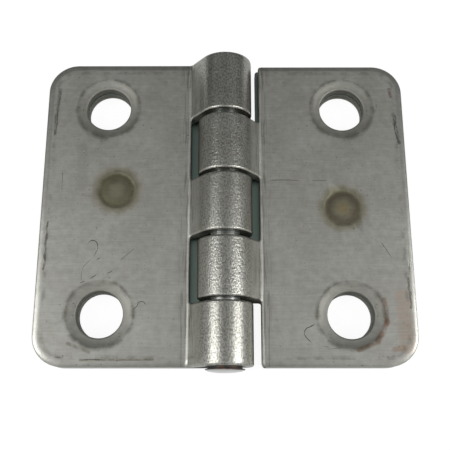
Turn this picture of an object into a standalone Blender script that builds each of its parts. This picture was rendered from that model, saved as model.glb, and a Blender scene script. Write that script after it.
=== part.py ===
"""A butt hinge of stainless sheet: two leaves, each one blank wrapped round the pin and spot-welded."""
import math

import bmesh
import bpy
from mathutils import Vector

# Driving sizes in metres. The pin runs along Y, the leaves lie open along X and face +Z.
LEAF_REACH = 0.0350  # pin axis to the outer edge of a leaf
LEAF_HEIGHT = 0.0596  # left leaf, along the pin
RIGHT_LEAF_SHORTER = 0.00035  # the right leaf's height is less by this much
LEAF_CORNER = 0.0057  # radius of the outer corners
SHEET = 0.0020  # thickness of the sheet, two layers to a leaf
LAYER_GAP = 0.0003  # slit between the two layers
AXIS_ABOVE_FRONT = 0.0005  # pin axis above the front face of the leaves

PIN_DIAMETER = 0.0062
PIN_CLEARANCE = 0.00005  # round the pin, on the radius
PIN_TOP_RECESS = 0.0003  # far end of the pin, below the end of the barrel
HEAD_PROUD = 0.0011  # riveted end, past the end of the barrel
HEAD_DIAMETER = 0.00724  # widest ring of the riveted end
HEAD_RIM_PROUD = 0.00045  # that ring, past the end of the barrel
HEAD_NECK_PROUD = 0.0003  # where the shank starts to spread, past the end of the barrel

FLANK_ANGLE = math.radians(36)  # where the front layer leaves the barrel, above the axis
FRONT_BEND = 0.0010  # hollow radius between the barrel and the front face
BACK_BEND = 0.0015  # hollow radius between the barrel and the back face

KNUCKLES = 5
KNUCKLE_GAP = 0.0008  # between neighbouring knuckles, on average
KNUCKLE_OFFSET = 0.00017  # the slots sit this far towards the riveted end
RIGHT_LEAF_DROP = 0.00016  # the right leaf has slid this far towards the riveted end
FRONT_SLOT_GAP = 0.00145  # barrel to the end of a slot, in the front layer
FAR_NOTCH_GAP = 0.00085  # the same in the back layer, which lies a little askew: beside the far knuckle
NEAR_NOTCH_GAP = 0.00165  # and beside the near one
SWING_CLEARANCE = 0.00027  # a turning barrel to the back layer beside it
SLOT_CORNER = 0.0006  # inner corners of the slots
NOTCH_CORNER_SPARE = 0.0001  # corner between a leaf's end and its notch, less the slot's roll

LEAF_ROLL = 0.0013  # rounded border that the punch leaves on the outer side of the leaves
SLOT_ROLL = 0.00045  # the same round the knuckles
ROLL_DEPTH = 0.0003
ROLL_TAPER = 0.0010  # one border runs into the other over this length

HOLE_DIAMETER = 0.0086
HOLE_FROM_AXIS = 0.0230
HOLE_FROM_END = 0.00945  # end of the left leaf to the centre of its hole, along the pin
DISH_DIAMETER = 0.0126  # pressed seat round each hole, on the front
DISH_DEPTH = 0.0004
LIP_WIDTH = 0.00045  # rounded edge between the seat and the hole
LIP_DEPTH = 0.0003

WELD_DIAMETER = 0.0070  # mark of the electrodes, on both faces
WELD_DEPTH = 0.00008
WELD_SLOPE = 3  # width of the mark's edge for its depth
NUGGET_DIAMETER = 0.0050  # fused spot that joins the layers
LEFT_WELD = (0.0207, 0.0034)  # from the pin axis, and along the pin from mid-height
RIGHT_WELD = (0.0223, 0.0)

# How finely round shapes are divided
WRAP_STEP = math.radians(7)
BEND_STEPS = 5
CORNER_STEPS = 8
SLOT_CORNER_STEPS = 3
ROLL_STEPS = 3
DISH_STEPS = 6
LIP_STEPS = 3
HOLE_STEPS = 40
PIN_STEPS = 64
CUT_MARGIN = 0.001  # cutters reach this far past the sheet
SKIM = 0.00002  # a soft cut starts this far above the sheet
MERGE = 0.000002  # points nearer than this are one
SNAP = 0.00000001  # points this near to a fold line lie on it
SHARP_ANGLE = math.radians(32)  # edges bent by more than this stay sharp to the eye

# What follows from the sizes above
BARREL_RADIUS = PIN_DIAMETER / 2 + PIN_CLEARANCE + SHEET
BACK_DEPTH = AXIS_ABOVE_FRONT + 2 * SHEET + LAYER_GAP  # pin axis to the back face
SLIT_DEPTH = AXIS_ABOVE_FRONT + SHEET + LAYER_GAP  # pin axis to the back layer's inner side
KNUCKLE_PITCH = LEAF_HEIGHT / KNUCKLES
RIGHT_LEAF_HEIGHT = LEAF_HEIGHT - RIGHT_LEAF_SHORTER
HOLE_SPACING = LEAF_HEIGHT - 2 * HOLE_FROM_END  # along the pin, the same on both leaves
FRONT_SLOT_END = BARREL_RADIUS + FRONT_SLOT_GAP
FAR_NOTCH_END = BARREL_RADIUS + FAR_NOTCH_GAP
NEAR_NOTCH_END = BARREL_RADIUS + NEAR_NOTCH_GAP
NOTCH_CORNER = SLOT_ROLL + NOTCH_CORNER_SPARE
MIDDLE_SLOT_END = math.sqrt((BARREL_RADIUS + SWING_CLEARANCE) ** 2 - SLIT_DEPTH ** 2)
HINGE_CENTRE_Y = HEAD_PROUD / 2  # the origin lies midway between the hinge's ends
AXIS_Z = BARREL_RADIUS  # the barrel's lowest line lies on the ground

SHEET_COLOUR = (0.42, 0.42, 0.40, 1)
PIN_COLOUR = (0.50, 0.50, 0.49, 1)
SHEET_ROUGHNESS = 0.35
PIN_ROUGHNESS = 0.25


def clear_scene():
    """Takes every object out of the scene."""
    for thing in list(bpy.data.objects):
        bpy.data.objects.remove(thing, do_unlink=True)


def make_collection(name):
    """A new collection of the scene."""
    collection = bpy.data.collections.new(name)
    bpy.context.scene.collection.children.link(collection)
    return collection


def make_metal(name, colour, roughness):
    """A plain metal."""
    metal = bpy.data.materials.new(name)
    metal.use_nodes = True
    shader = metal.node_tree.nodes["Principled BSDF"]
    shader.inputs["Base Color"].default_value = colour
    shader.inputs["Metallic"].default_value = 1.0
    shader.inputs["Roughness"].default_value = roughness
    return metal


def add_object(name, mesh, collection):
    """An object with this mesh."""
    thing = bpy.data.objects.new(name, mesh)
    collection.objects.link(thing)
    return thing


def evaluated_mesh(thing):
    """The mesh that an object's modifiers or curve give, as plain data."""
    bpy.context.view_layer.update()
    depsgraph = bpy.context.evaluated_depsgraph_get()
    return bpy.data.meshes.new_from_object(thing.evaluated_get(depsgraph))


def finish_mesh(thing, metal):
    """One metal, with smooth round faces and sharp edges."""
    thing.data.materials.clear()
    thing.data.materials.append(metal)
    thing.data.shade_smooth()
    thing.data.set_sharp_from_angle(angle=SHARP_ANGLE)


# The fold, for a leaf that lies on the +X side, seen along the pin, with the axis at 0, 0

def arc(centre, radius, start, end, steps, outward):
    """Points of an arc with the outer side's normals: outward is 1 on a crown and -1 in a hollow."""
    points = []
    for i in range(steps + 1):
        angle = start + (end - start) * i / steps
        x, z = math.cos(angle), math.sin(angle)
        place = (centre[0] + radius * x, centre[1] + radius * z)
        points.append((place, (outward * x, outward * z)))
    return points


def fold_path():
    """The outer side of the sheet, from the front layer's edge round the barrel to the back layer's."""
    front = -AXIS_ABOVE_FRONT
    bend_z = front + FRONT_BEND
    flank = (BARREL_RADIUS * math.sin(FLANK_ANGLE) - bend_z + FRONT_BEND * math.sin(FLANK_ANGLE))
    flank = flank / math.cos(FLANK_ANGLE)
    bend_x = (BARREL_RADIUS + FRONT_BEND) * math.cos(FLANK_ANGLE) + flank * math.sin(FLANK_ANGLE)
    back_z = -BACK_DEPTH - BACK_BEND
    back_x = math.sqrt((BARREL_RADIUS + BACK_BEND) ** 2 - back_z ** 2)
    back_angle = math.atan2(back_z, back_x)
    wrap = math.tau + back_angle - FLANK_ANGLE
    points = [((LEAF_REACH, front), (0.0, 1.0))]
    points += arc((bend_x, bend_z), FRONT_BEND, 1.5 * math.pi, math.pi + FLANK_ANGLE, BEND_STEPS, -1)
    points += arc((0.0, 0.0), BARREL_RADIUS, FLANK_ANGLE, FLANK_ANGLE + wrap, math.ceil(wrap / WRAP_STEP), 1)
    points += arc((back_x, back_z), BACK_BEND, math.pi + back_angle, math.pi / 2, BEND_STEPS, -1)[1:]
    points.append(((LEAF_REACH, -BACK_DEPTH), (0.0, -1.0)))
    path = []
    run = 0.0
    for i, (place, normal) in enumerate(points):
        if i:
            run += math.dist(place, points[i - 1][0])
        path.append((run, place, normal))
    return path


def run_at(path, x, layer):
    """How far along the sheet the front or the back layer's outer side is at this distance from the pin."""
    steps = list(zip(path, path[1:]))
    if layer == "back":
        steps.reverse()
    for (run_a, (x_a, _), _), (run_b, (x_b, _), _) in steps:
        if min(x_a, x_b) <= x <= max(x_a, x_b):
            return run_a + (run_b - run_a) * (x - x_a) / (x_b - x_a)
    raise ValueError("the sheet never comes this near to the pin")


def fold_point(path, run, depth):
    """Where a point of the flat blank comes to lie, depth being its distance below the outer side."""
    index = 1
    while index < len(path) - 1 and path[index][0] < run:
        index += 1
    (run_a, place_a, normal_a), (run_b, place_b, normal_b) = path[index - 1], path[index]
    share = (run - run_a) / (run_b - run_a)
    both = []
    for k in range(2):
        near = place_a[k] - normal_a[k] * depth
        far = place_b[k] - normal_b[k] * depth
        both.append(near + (far - near) * share)
    return both


# The flat blank: X runs along the sheet, Y along the pin, and the outer side is at Z = 0

def rounded_loop(corners, share):
    """A closed outline, drawn in by a share of its border's roll.

    A corner is x, y, radius, steps and the roll before and after it; one without steps is a point on a straight
    edge. The sheet lies to the left of the outline."""
    points = []
    for i, (x, y, radius, steps, roll_before, roll_after) in enumerate(corners):
        before, after = corners[i - 1], corners[(i + 1) % len(corners)]
        into = Vector((x - before[0], y - before[1])).normalized()
        out = Vector((after[0] - x, after[1] - y)).normalized()
        place = Vector((x, y)) + share * roll_before * Vector((-into.y, into.x))
        if steps == 0:
            points.append(place)
            continue
        place += share * roll_after * Vector((-out.y, out.x))
        convex = into.cross(out) > 0
        side = -1 if convex else 1
        drawn = radius + side * share * (min if convex else max)(roll_before, roll_after)
        centre = place + drawn * (out - into)
        start = math.atan2(side * into.x, -side * into.y)
        for k in range(steps + 1):
            angle = start - side * math.pi / 2 * k / steps
            points.append(centre + drawn * Vector((math.cos(angle), math.sin(angle))))
    return points


def window(path, low_y, high_y):
    """The corners of a closed slot through which a knuckle of the other leaf passes."""
    start = run_at(path, FRONT_SLOT_END, "front")
    end = run_at(path, MIDDLE_SLOT_END, "back")
    corner = (SLOT_CORNER, SLOT_CORNER_STEPS, SLOT_ROLL, SLOT_ROLL)
    return [(start, low_y, *corner), (start, high_y, *corner), (end, high_y, *corner), (end, low_y, *corner)]


def knuckle_span(number):
    """Lowest and highest place along the pin of a knuckle, counted from 0 at the far end."""
    middle = (KNUCKLES - 1) / 2
    centre = (middle - number) * KNUCKLE_PITCH - KNUCKLE_OFFSET
    half = (KNUCKLE_PITCH - KNUCKLE_GAP) / 2
    return centre - half, centre + half


def left_outline(path):
    """The left blank, which keeps the first, third and fifth knuckle."""
    length, half = path[-1][0], LEAF_HEIGHT / 2
    start = run_at(path, FRONT_SLOT_END, "front")
    end = run_at(path, FRONT_SLOT_END, "back")
    rolls = [(start - ROLL_TAPER, LEAF_ROLL), (start, SLOT_ROLL), (end, SLOT_ROLL), (end + ROLL_TAPER, LEAF_ROLL)]
    near_end = [(x, -half, 0, 0, roll, roll) for x, roll in rolls]
    far_end = [(x, half, 0, 0, roll, roll) for x, roll in reversed(rolls)]
    corner = (LEAF_CORNER, CORNER_STEPS, LEAF_ROLL, LEAF_ROLL)
    outlines = [[(0, -half, *corner), *near_end, (length, -half, *corner),
                 (length, half, *corner), *far_end, (0, half, *corner)]]
    for number in range(1, KNUCKLES, 2):
        low, high = knuckle_span(number)
        outlines.append(window(path, low - KNUCKLE_GAP, high + KNUCKLE_GAP))
    return outlines


def right_outline(path):
    """The right blank, which keeps the second and fourth knuckle and is notched at both ends."""
    length, half = path[-1][0], RIGHT_LEAF_HEIGHT / 2
    start = run_at(path, FRONT_SLOT_END, "front")
    near, far = run_at(path, NEAR_NOTCH_END, "back"), run_at(path, FAR_NOTCH_END, "back")
    low, high = knuckle_span(KNUCKLES - 2)[0], knuckle_span(1)[1]
    corner = (LEAF_CORNER, CORNER_STEPS, LEAF_ROLL, LEAF_ROLL)
    into_notch = (NOTCH_CORNER, SLOT_CORNER_STEPS, LEAF_ROLL, SLOT_ROLL)
    out_of_notch = (NOTCH_CORNER, SLOT_CORNER_STEPS, SLOT_ROLL, LEAF_ROLL)
    slot = (SLOT_CORNER, SLOT_CORNER_STEPS, SLOT_ROLL, SLOT_ROLL)
    outlines = [[
        (0, -half, *corner), (start, -half, *into_notch), (start, low, *slot), (near, low, *slot),
        (near, -half, *out_of_notch), (length, -half, *corner), (length, half, *corner),
        (far, half, *into_notch), (far, high, *slot), (start, high, *slot), (start, half, *out_of_notch),
        (0, half, *corner)]]
    for number in range(2, KNUCKLES - 2, 2):
        outlines.append(window(path, knuckle_span(number + 1)[1], knuckle_span(number - 1)[0]))
    return outlines


def flat_blank(name, outlines):
    """The outlines as a plate whose outer side has its border rounded, as a quarter of an ellipse."""
    levels = [(0.0, -SHEET)]
    for i in range(ROLL_STEPS + 1):
        angle = math.pi / 2 * i / ROLL_STEPS
        levels.append((1 - math.cos(angle), ROLL_DEPTH * (math.sin(angle) - 1)))
    form = bmesh.new()
    lowest, highest = [], []
    for outline in outlines:
        rings = []
        for share, height in levels:
            verts = [form.verts.new((x, y, height)) for x, y in rounded_loop(outline, share)]
            rings.append([form.edges.new((vert, verts[i - 1])) for i, vert in enumerate(verts)])
        for lower, upper in zip(rings, rings[1:]):
            bmesh.ops.bridge_loops(form, edges=lower + upper)
        lowest += rings[0]
        highest += rings[-1]
    for edges in (lowest, highest):
        bmesh.ops.triangle_fill(form, edges=edges, use_beauty=True)
    bmesh.ops.recalc_face_normals(form, faces=form.faces)
    mesh = bpy.data.meshes.new(name)
    form.to_mesh(mesh)
    form.free()
    return mesh


def add_turned(form, profile, x, y):
    """Adds a turned solid to a form, from a profile of radius and height that ends on its axis."""
    verts = [form.verts.new((x + radius, y, height)) for radius, height in profile]
    edges = [form.edges.new(pair) for pair in zip(verts, verts[1:])]
    bmesh.ops.spin(form, geom=verts + edges, cent=(x, y, 0), axis=(0, 0, 1), angle=math.tau,
                   steps=HOLE_STEPS, use_merge=True)


def seat_profile():
    """The screw's seat: a shallow dish, then a rounded lip down into the hole."""
    hole, dish = HOLE_DIAMETER / 2, DISH_DIAMETER / 2
    lip = hole + LIP_WIDTH
    profile = [(0, CUT_MARGIN), (dish, CUT_MARGIN)]
    for i in range(DISH_STEPS + 1):
        share = i / DISH_STEPS
        fall = (1 - math.cos(math.pi * share)) / 2
        profile.append((dish + (lip - dish) * share, SKIM - (DISH_DEPTH + SKIM) * fall))
    for i in range(1, LIP_STEPS + 1):
        angle = math.pi / 2 * i / LIP_STEPS
        profile.append((lip - LIP_WIDTH * math.sin(angle), -DISH_DEPTH - LIP_DEPTH * (1 - math.cos(angle))))
    return profile + [(hole, -SHEET - CUT_MARGIN), (0, -SHEET - CUT_MARGIN)]


def weld_profile():
    """The shallow round mark that an electrode leaves."""
    mark = WELD_DIAMETER / 2
    wide = mark + WELD_SLOPE * (WELD_DEPTH + CUT_MARGIN)
    return [(0, CUT_MARGIN), (wide, CUT_MARGIN), (mark, -WELD_DEPTH), (0, -WELD_DEPTH)]


def cut_blank(name, mesh, path, weld, parts, cutters):
    """Cuts the screw holes and the weld's marks into the flat blank."""
    hole = HOLE_DIAMETER / 2
    plain = [(0, CUT_MARGIN), (hole, CUT_MARGIN), (hole, -SHEET - CUT_MARGIN), (0, -SHEET - CUT_MARGIN)]
    form = bmesh.new()
    for layer, profile in (("front", seat_profile()), ("back", plain)):
        for side in (-1, 1):
            add_turned(form, profile, run_at(path, HOLE_FROM_AXIS, layer), side * HOLE_SPACING / 2)
        add_turned(form, weld_profile(), run_at(path, weld[0], layer), weld[1])
    bmesh.ops.remove_doubles(form, verts=form.verts, dist=MERGE)
    bmesh.ops.recalc_face_normals(form, faces=form.faces)
    punch_mesh = bpy.data.meshes.new(name + "_punch")
    form.to_mesh(punch_mesh)
    form.free()
    punch = add_object(name + "_punch", punch_mesh, cutters)
    blank = add_object(name + "_blank", mesh, parts)
    cut = blank.modifiers.new("cut", "BOOLEAN")
    cut.operation = "DIFFERENCE"
    cut.object = punch
    mesh = evaluated_mesh(blank)
    for thing in (blank, punch):
        bpy.data.objects.remove(thing, do_unlink=True)
    return mesh


def fold_blank(mesh, path, side):
    """Wraps the flat blank round the pin, towards +X for side 1 and towards -X for side -1."""
    form = bmesh.new()
    form.from_mesh(mesh)
    for run, _, _ in path[1:-1]:
        everything = form.verts[:] + form.edges[:] + form.faces[:]
        bmesh.ops.bisect_plane(form, geom=everything, dist=SNAP, plane_co=(run, 0, 0), plane_no=(1, 0, 0))
    for vert in form.verts:
        x, z = fold_point(path, vert.co.x, -vert.co.z)
        vert.co = (side * x, vert.co.y, z)
    bmesh.ops.dissolve_degenerate(form, edges=form.edges, dist=MERGE)
    bmesh.ops.remove_doubles(form, verts=form.verts, dist=MERGE)
    bmesh.ops.recalc_face_normals(form, faces=form.faces)
    form.to_mesh(mesh)
    form.free()


def make_leaf(name, side, outline, weld, metal, parts, cutters):
    """One leaf: a blank, punched and pressed flat, then folded and welded to itself."""
    path = fold_path()
    mesh = flat_blank(name, outline(path))
    mesh = cut_blank(name, mesh, path, weld, parts, cutters)
    mesh.name = name
    fold_blank(mesh, path, side)
    leaf = add_object(name, mesh, parts)
    leaf.location = (0, HINGE_CENTRE_Y, AXIS_Z)
    middle = -AXIS_ABOVE_FRONT - SHEET - LAYER_GAP / 2
    nugget_form = bmesh.new()
    bmesh.ops.create_cone(nugget_form, cap_ends=True, segments=HOLE_STEPS, radius1=NUGGET_DIAMETER / 2,
                          radius2=NUGGET_DIAMETER / 2, depth=SHEET)
    nugget_mesh = bpy.data.meshes.new(name + "_nugget")
    nugget_form.to_mesh(nugget_mesh)
    nugget_form.free()
    nugget = add_object(name + "_nugget", nugget_mesh, cutters)
    nugget.parent = leaf
    nugget.location = (side * weld[0], weld[1], middle)
    nugget.hide_render = True
    nugget.display_type = "WIRE"
    weld_spot = leaf.modifiers.new("weld", "BOOLEAN")
    weld_spot.operation = "UNION"
    weld_spot.object = nugget
    finish_mesh(leaf, metal)
    return leaf


def make_pin(metal, parts):
    """The pin: a plain shank whose near end is riveted over, turned round its own axis."""
    half, radius = LEAF_HEIGHT / 2, PIN_DIAMETER / 2
    rim, chamfer = HEAD_DIAMETER / 2, PIN_TOP_RECESS
    profile = [(0, half + HEAD_PROUD)]
    dome = HEAD_PROUD - HEAD_RIM_PROUD
    for i in range(1, DISH_STEPS + 1):
        angle = math.pi / 2 * i / DISH_STEPS
        profile.append((rim * math.sin(angle), half + HEAD_RIM_PROUD + dome * math.cos(angle)))
    profile += [(radius, half + HEAD_NECK_PROUD), (radius, chamfer + PIN_TOP_RECESS - half),
                (radius - chamfer, PIN_TOP_RECESS - half), (0, PIN_TOP_RECESS - half)]
    mesh = bpy.data.meshes.new("hinge_pin")
    mesh.from_pydata([(r, 0, z) for r, z in profile], [(i, i + 1) for i in range(len(profile) - 1)], [])
    pin = add_object("hinge_pin", mesh, parts)
    pin.location = (0, HINGE_CENTRE_Y, AXIS_Z)
    pin.rotation_euler = (math.pi / 2, 0, 0)
    turn = pin.modifiers.new("turn", "SCREW")
    turn.steps = turn.render_steps = PIN_STEPS
    turn.use_merge_vertices = True
    turn.merge_threshold = MERGE
    turn.use_smooth_shade = True
    mesh.materials.append(metal)
    return pin


def main():
    clear_scene()
    parts = make_collection("butt_hinge")
    cutters = make_collection("cutters")
    sheet_metal = make_metal("stainless_sheet", SHEET_COLOUR, SHEET_ROUGHNESS)
    pin_metal = make_metal("drawn_stainless", PIN_COLOUR, PIN_ROUGHNESS)
    make_leaf("left_leaf", -1, left_outline, LEFT_WELD, sheet_metal, parts, cutters)
    right = make_leaf("right_leaf", 1, right_outline, RIGHT_WELD, sheet_metal, parts, cutters)
    right.location.y -= RIGHT_LEAF_DROP
    make_pin(pin_metal, parts)


main()
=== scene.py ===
import math

import bmesh
import bpy
from mathutils import Matrix, Vector


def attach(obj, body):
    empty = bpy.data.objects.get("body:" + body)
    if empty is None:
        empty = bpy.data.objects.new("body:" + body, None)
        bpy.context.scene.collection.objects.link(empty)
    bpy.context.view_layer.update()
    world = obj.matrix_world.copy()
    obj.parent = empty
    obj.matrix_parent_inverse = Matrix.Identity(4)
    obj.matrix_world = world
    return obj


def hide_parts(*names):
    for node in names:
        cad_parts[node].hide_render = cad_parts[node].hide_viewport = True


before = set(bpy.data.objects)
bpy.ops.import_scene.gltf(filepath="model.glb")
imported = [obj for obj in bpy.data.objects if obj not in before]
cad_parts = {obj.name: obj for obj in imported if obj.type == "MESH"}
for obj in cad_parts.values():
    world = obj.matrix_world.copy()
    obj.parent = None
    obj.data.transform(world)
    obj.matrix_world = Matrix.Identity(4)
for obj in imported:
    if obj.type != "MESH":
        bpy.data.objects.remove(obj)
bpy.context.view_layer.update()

# Sizes of the hinge in metres, as its solids have them
LEAF_REACH = 0.0350
LEAF_HEIGHT = 0.0596
RIGHT_LEAF_SHORTER = 0.00035
LEAF_CORNER = 0.0057
SHEET = 0.0020
LAYER_GAP = 0.0003
AXIS_ABOVE_FRONT = 0.0005
PIN_DIAMETER = 0.0062
PIN_CLEARANCE = 0.00005
PIN_TOP_RECESS = 0.0003
HEAD_PROUD = 0.0011
HEAD_DIAMETER = 0.00724
HEAD_RIM_PROUD = 0.00045
HEAD_NECK_PROUD = 0.0003
FLANK_ANGLE = math.radians(36)
FRONT_BEND = 0.0010
BACK_BEND = 0.0015
KNUCKLES = 5
KNUCKLE_GAP = 0.0008
KNUCKLE_OFFSET = 0.00017
RIGHT_LEAF_DROP = 0.00016
FRONT_SLOT_GAP = 0.00145
FAR_NOTCH_GAP = 0.00085
NEAR_NOTCH_GAP = 0.00165
SWING_CLEARANCE = 0.00027
SLOT_CORNER = 0.0006
HOLE_DIAMETER = 0.0086
HOLE_FROM_AXIS = 0.0230
HOLE_SPACING = 0.0407
DISH_DIAMETER = 0.0126
DISH_DEPTH = 0.00035
DISH_SOFTNESS = -0.04  # how much of the seat's slope gives way to its rounded rims
LIP_WIDTH = 0.00045
LIP_DEPTH = 0.0003
WELD_DIAMETER = 0.0070
WELD_DEPTH = 0.00008
WELD_SLOPE = 3  # width of the mark's edge for its depth
WELD_RING = (0.82, 1.1)  # where the mark is deepest, as shares of its radius and its depth
WELD_RISE = (0.7, 0.55)  # inside that ring
WELD_MIDDLE = 0.45
LEFT_WELD = (0.0207, 0.0034)  # from the pin's axis, and along the pin from mid-height
RIGHT_WELD = (0.0223, 0.0)
PER_METRE = 1000  # marks and patterns are measured in millimetres

# Marks of use on the front faces, in millimetres from the pin's axis and along the pin from mid-height.
# A scratch has its half width and the points that it runs through, a round pit its place and its radius.
LEFT_SCRATCHES = [
    (0.095, [(25.6, -7.0), (25.1, -6.5), (24.2, -6.7), (23.8, -7.6), (24.1, -8.7), (24.5, -9.6)]),
    (0.05, [(24.7, -10.0), (26.2, -11.4), (26.6, -12.7), (26.5, -14.3)]),
    (0.08, [(24.0, -10.3), (23.2, -9.8)]),
    (0.055, [(19.6, -10.4), (18.2, -9.2), (16.9, -7.9)]),
    (0.085, [(23.8, -13.0), (24.9, -13.8)]),
    (0.07, [(25.8, -14.2), (26.8, -14.6)]),
    (0.08, [(21.8, -12.8), (20.8, -12.3)]),
    (0.08, [(16.8, -19.5), (16.1, -18.9), (15.9, -18.3), (15.3, -18.0), (14.8, -18.2), (14.5, -18.7)]),
    (0.08, [(28.7, 28.6), (27.2, 28.7), (25.3, 28.6)]),
    (0.10, [(32.8, 23.8), (33.1, 20.2), (33.0, 17.8), (33.3, 15.3)]),
    (0.07, [(30.7, -28.0), (29.4, -28.1)]),
    (0.06, [(25.4, -28.4), (22.0, -28.5)]),
    (0.05, [(31.3, 7.5), (31.2, 3.0)]),
]
LEFT_PITS = [
    (28.6, 13.9, 0.14), (29.4, 14.4, 0.10), (27.4, 11.2, 0.13), (24.4, 12.4, 0.10), (28.7, 7.6, 0.11),
    (9.9, 8.3, 0.10), (25.1, 5.2, 0.08), (21.3, -13.6, 0.12), (14.9, -16.1, 0.12), (30.2, -18.6, 0.10),
]
RIGHT_SCRATCHES = [
    (0.08, [(29.1, -6.6), (30.0, -8.0), (31.0, -9.8)]),
    (0.085, [(16.3, -21.9), (15.6, -22.4), (14.7, -22.8), (14.3, -23.6), (14.7, -24.5), (15.6, -25.3)]),
    (0.04, [(17.5, -25.9), (18.9, -26.2)]),
    (0.04, [(18.3, -26.5), (19.8, -26.4), (21.0, -26.1)]),
    (0.08, [(8.4, 5.5), (11.0, 5.6), (14.3, 5.5)]),
    (0.06, [(16.6, 5.5), (19.6, 5.5)]),
    (0.12, [(33.1, 19.0), (33.3, 17.6), (33.2, 16.2), (33.6, 14.8), (33.8, 13.5)]),
    (0.06, [(29.9, 21.7), (29.9, 20.6)]),
]
RIGHT_PITS = [
    (15.7, 9.3, 0.13), (23.6, 10.4, 0.09), (34.2, -11.3, 0.22), (33.9, -13.6, 0.10), (33.8, -17.5, 0.12),
    (33.7, -4.2, 0.10), (33.6, -9.0, 0.10), (12.4, -9.8, 0.09), (17.8, -9.3, 0.10), (26.4, -6.0, 0.08),
    (26.6, -11.7, 0.10), (31.3, -26.0, 0.12), (30.1, -27.7, 0.12), (32.9, -22.3, 0.10),
]
# Stains: two ends of each on the blank, its half width in millimetres, and the colour that it gives the steel
LEFT_STAINS = [
    ((2.1, 24.4), (1.7, 15.0), 0.45, "#b0b0ae"),
    ((1.5, -3.0), (1.4, -12.0), 0.30, "#a8a8a4"),
    ((7.3, 12.0), (7.6, 4.5), 1.6, "#f0f0f0"),
    ((9.0, -28.6), (22.0, -28.5), 0.30, "#c8c4ba"),
    ((6.6, -25.6), (10.5, -27.2), 0.45, "#d0cec8"),
]
RIGHT_STAINS = [
    ((1.9, 19.2), (1.2, 13.2), 0.50, "#9c9c9a"),
    ((2.3, 24.6), (2.1, 23.0), 0.45, "#c8bcb2"),
    ((5.9, -17.6), (5.6, -21.6), 0.75, "#e2cdc2"),
    ((5.6, -21.6), (7.4, -25.2), 0.70, "#dcc4b8"),
    ((7.4, -25.2), (11.0, -26.7), 0.60, "#e2d2c6"),
    ((2.6, -17.0), (2.2, -26.0), 2.0, "#fbece4"),
    ((3.0, -26.3), (4.6, -26.6), 0.8, "#e8dacf"),
    ((1.2, -13.6), (1.0, -19.0), 0.35, "#bcbab6"),
]
WEAR_DEPTH = 0.9  # depth of a scratch or a pit, for its half width
WEAR_STEP = 0.00025  # between the points of a scratch
PIT_STEPS = 12
SCRATCH_SWELL = 6.0  # how soon a scratch grows from its end to its full width
SCRATCH_END = 0.3  # share of its width at the very end

BARREL_RADIUS = PIN_DIAMETER / 2 + PIN_CLEARANCE + SHEET
BACK_DEPTH = AXIS_ABOVE_FRONT + 2 * SHEET + LAYER_GAP
SLIT_DEPTH = AXIS_ABOVE_FRONT + SHEET + LAYER_GAP
KNUCKLE_PITCH = LEAF_HEIGHT / KNUCKLES
FRONT_SLOT_END = BARREL_RADIUS + FRONT_SLOT_GAP
FAR_NOTCH_END = BARREL_RADIUS + FAR_NOTCH_GAP
NEAR_NOTCH_END = BARREL_RADIUS + NEAR_NOTCH_GAP
MIDDLE_SLOT_END = math.sqrt((BARREL_RADIUS + SWING_CLEARANCE) ** 2 - SLIT_DEPTH ** 2)
AXIS = Vector((0, HEAD_PROUD / 2, BARREL_RADIUS))

# The soft border that shearing and tumbling leave on the outer side
LEAF_ROLL = 0.0013
SLOT_ROLL = 0.00045
ROLL_DEPTH = 0.0003
ROLL_TAPER = 0.0010
NOTCH_CORNER = SLOT_ROLL + 0.0001

# How finely round shapes are divided
WRAP_STEP = math.radians(2.5)
BEND_STEPS = 12
CORNER_STEPS = 20
SLOT_CORNER_STEPS = 8
ROLL_STEPS = 7
DISH_STEPS = 14
LIP_STEPS = 6
HOLE_STEPS = 96
PIN_STEPS = 128
CUT_MARGIN = 0.001  # cutters reach this far past the sheet
SKIM = 0.00002  # a soft cut starts this far above the sheet
MERGE = 0.000001  # points nearer than this are one
SNAP = 1e-8  # points this near to a fold line lie on it
SHARP_ANGLE = math.radians(40)  # edges bent by more than this stay sharp to the eye
FLAT_FACE_WEIGHT = 100  # how far large flat faces lead the shading of their borders


def colour(hex_code):
    """Linear colour from an sRGB hex code."""
    parts = [int(hex_code[i:i + 2], 16) / 255 for i in (1, 3, 5)]
    return [p / 12.92 if p <= 0.04045 else ((p + 0.055) / 1.055) ** 2.4 for p in parts] + [1.0]


# Kinds of node whose settings come often, as add_node takes them
TIMES, PLUS, MINUS, OVER, LESSER, GREATER, ABSOLUTE, ROOT = (
    ("ShaderNodeMath", {"operation": how}) for how in (
        "MULTIPLY", "ADD", "SUBTRACT", "DIVIDE", "MINIMUM", "MAXIMUM", "ABSOLUTE", "SQRT"))
SOFT_STEP = ("ShaderNodeMapRange", {"interpolation_type": "SMOOTHSTEP"})  # value, limits, results
TINT = ("ShaderNodeMix", {"data_type": "RGBA", "blend_type": "MULTIPLY"})
COVER = ("ShaderNodeMix", {"data_type": "RGBA", "blend_type": "MIX"})
FACTOR, BELOW, ABOVE = 0, 6, 7  # the inputs of a mix of colours


def add_node(tree, kind, values=(), stops=(), **settings):
    """A node with its settings and the stops of its ramp. Its values go to its inputs in order or by key, and
    a node or an output among them is linked."""
    kind, shared = (kind, {}) if isinstance(kind, str) else kind
    node = tree.nodes.new(kind)
    for name, value in {**shared, **settings}.items():
        setattr(node, name, value)
    for key, source in (values if isinstance(values, dict) else dict(enumerate(values))).items():
        if isinstance(source, bpy.types.Node):
            source = next(output for output in source.outputs if output.enabled)
        if isinstance(source, bpy.types.NodeSocket):
            tree.links.new(source, node.inputs[key])
        else:
            node.inputs[key].default_value = source
    if stops:
        ramp = node.color_ramp.elements
        for stop, (place, code) in zip(ramp, (stops[0], stops[-1])):
            stop.position, stop.color = place, colour(code)
        for place, code in stops[1:-1]:
            ramp.new(place).color = colour(code)
    return node


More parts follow.
